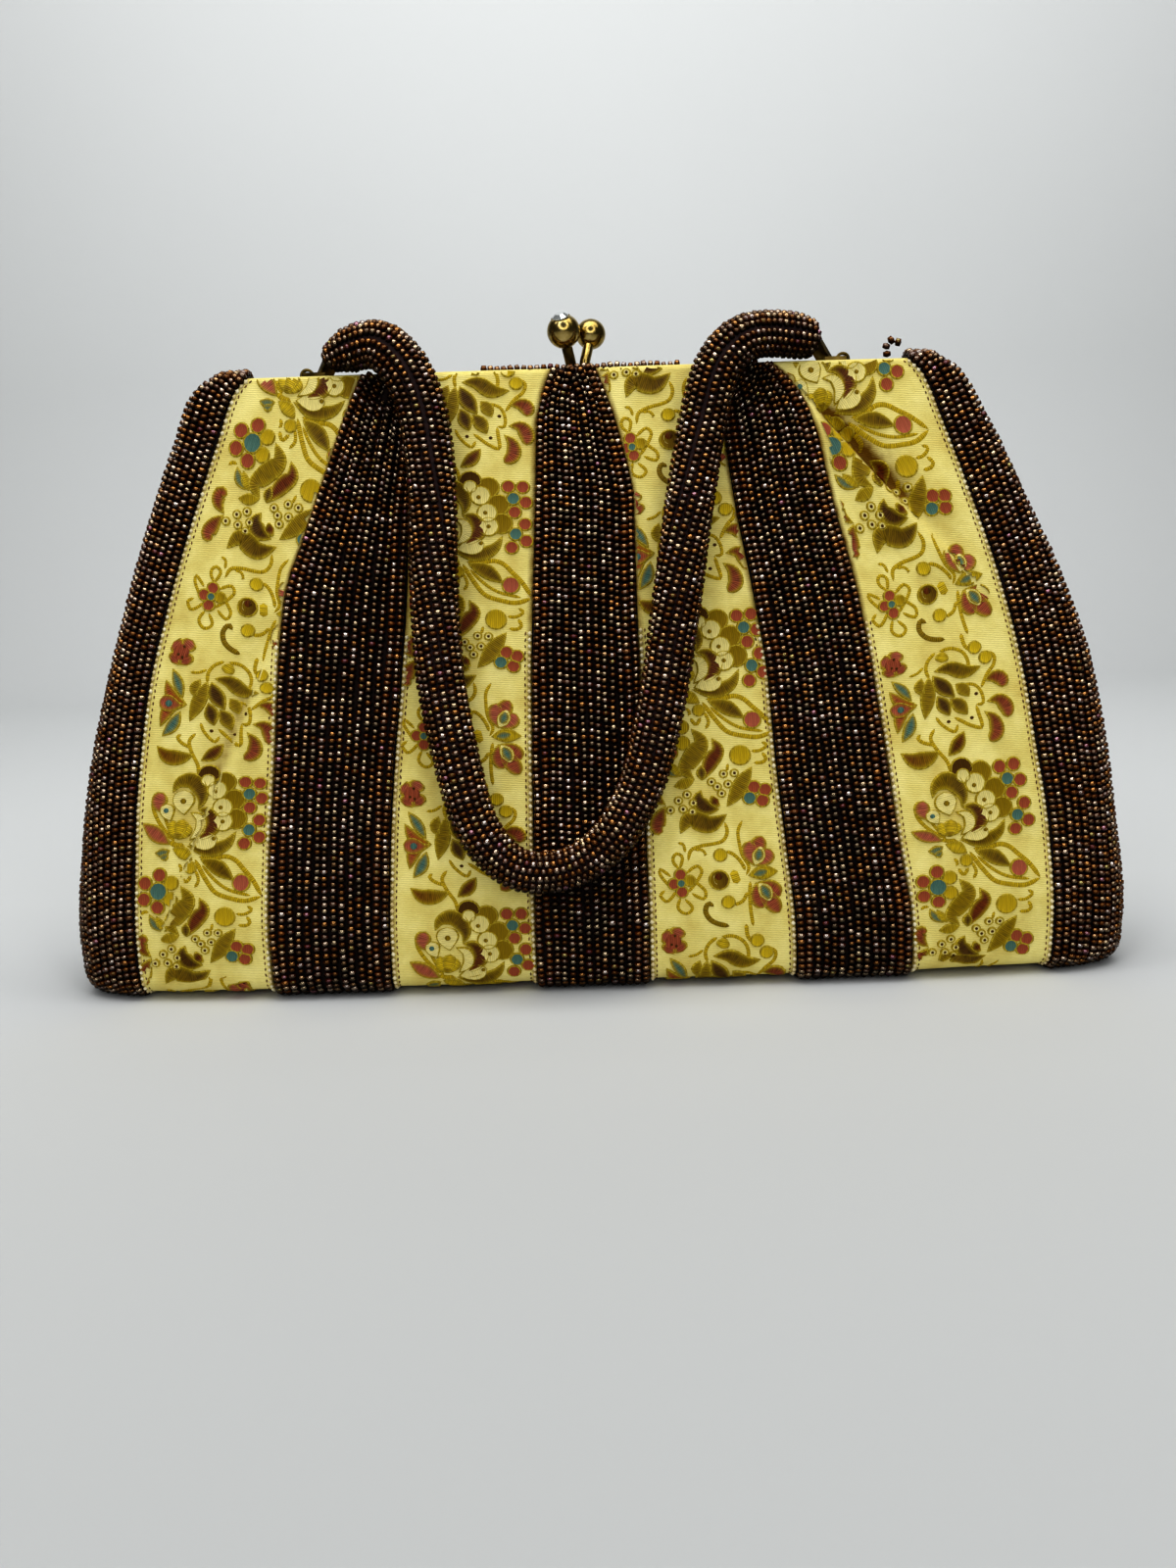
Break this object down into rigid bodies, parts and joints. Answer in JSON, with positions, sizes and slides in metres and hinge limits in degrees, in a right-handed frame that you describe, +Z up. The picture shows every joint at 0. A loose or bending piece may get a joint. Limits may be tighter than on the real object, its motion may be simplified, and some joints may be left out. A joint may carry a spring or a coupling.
{
  "type": "tapestry handbag",
  "caption": "Soft tent-shaped handbag of flower ribbons and seed-bead bands, closed by a hidden kiss-lock frame with snap balls and carried by a rolled beaded strap.",
  "frame": {"origin": "on the floor under the middle of the mouth, on the underside of the middle bead band", "axes": "+X to the right as seen from the front, -Y towards the front with the strap, +Z up"},
  "size_m": [0.3011, 0.0726, 0.1859],
  "materials": {
    "ribbon": "woven satin with raised silk flowers",
    "beadwork": "bronze-lustre glass seed beads sewn on brown cloth",
    "brass": "polished",
    "old_brass": "dull, tarnished",
    "crystal": "cut and polished"
  },
  "bodies": {
    "root": {"ribbon_1": "ribbon", "ribbon_2": "ribbon", "ribbon_3": "ribbon", "ribbon_4": "ribbon", "bead_band_left": "beadwork", "bead_band_middle": "beadwork", "bead_band_right": "beadwork", "side_band_left": "beadwork", "side_band_right": "beadwork", "frame_front": "brass", "frame_back": "brass", "snap_stone": "crystal", "hinge_pin_left": "old_brass", "hinge_pin_right": "old_brass", "strap": "beadwork", "strap_hook_left": "old_brass", "strap_hook_right": "old_brass", "mouth_beads": "beadwork"}
  },
  "joints": []
}
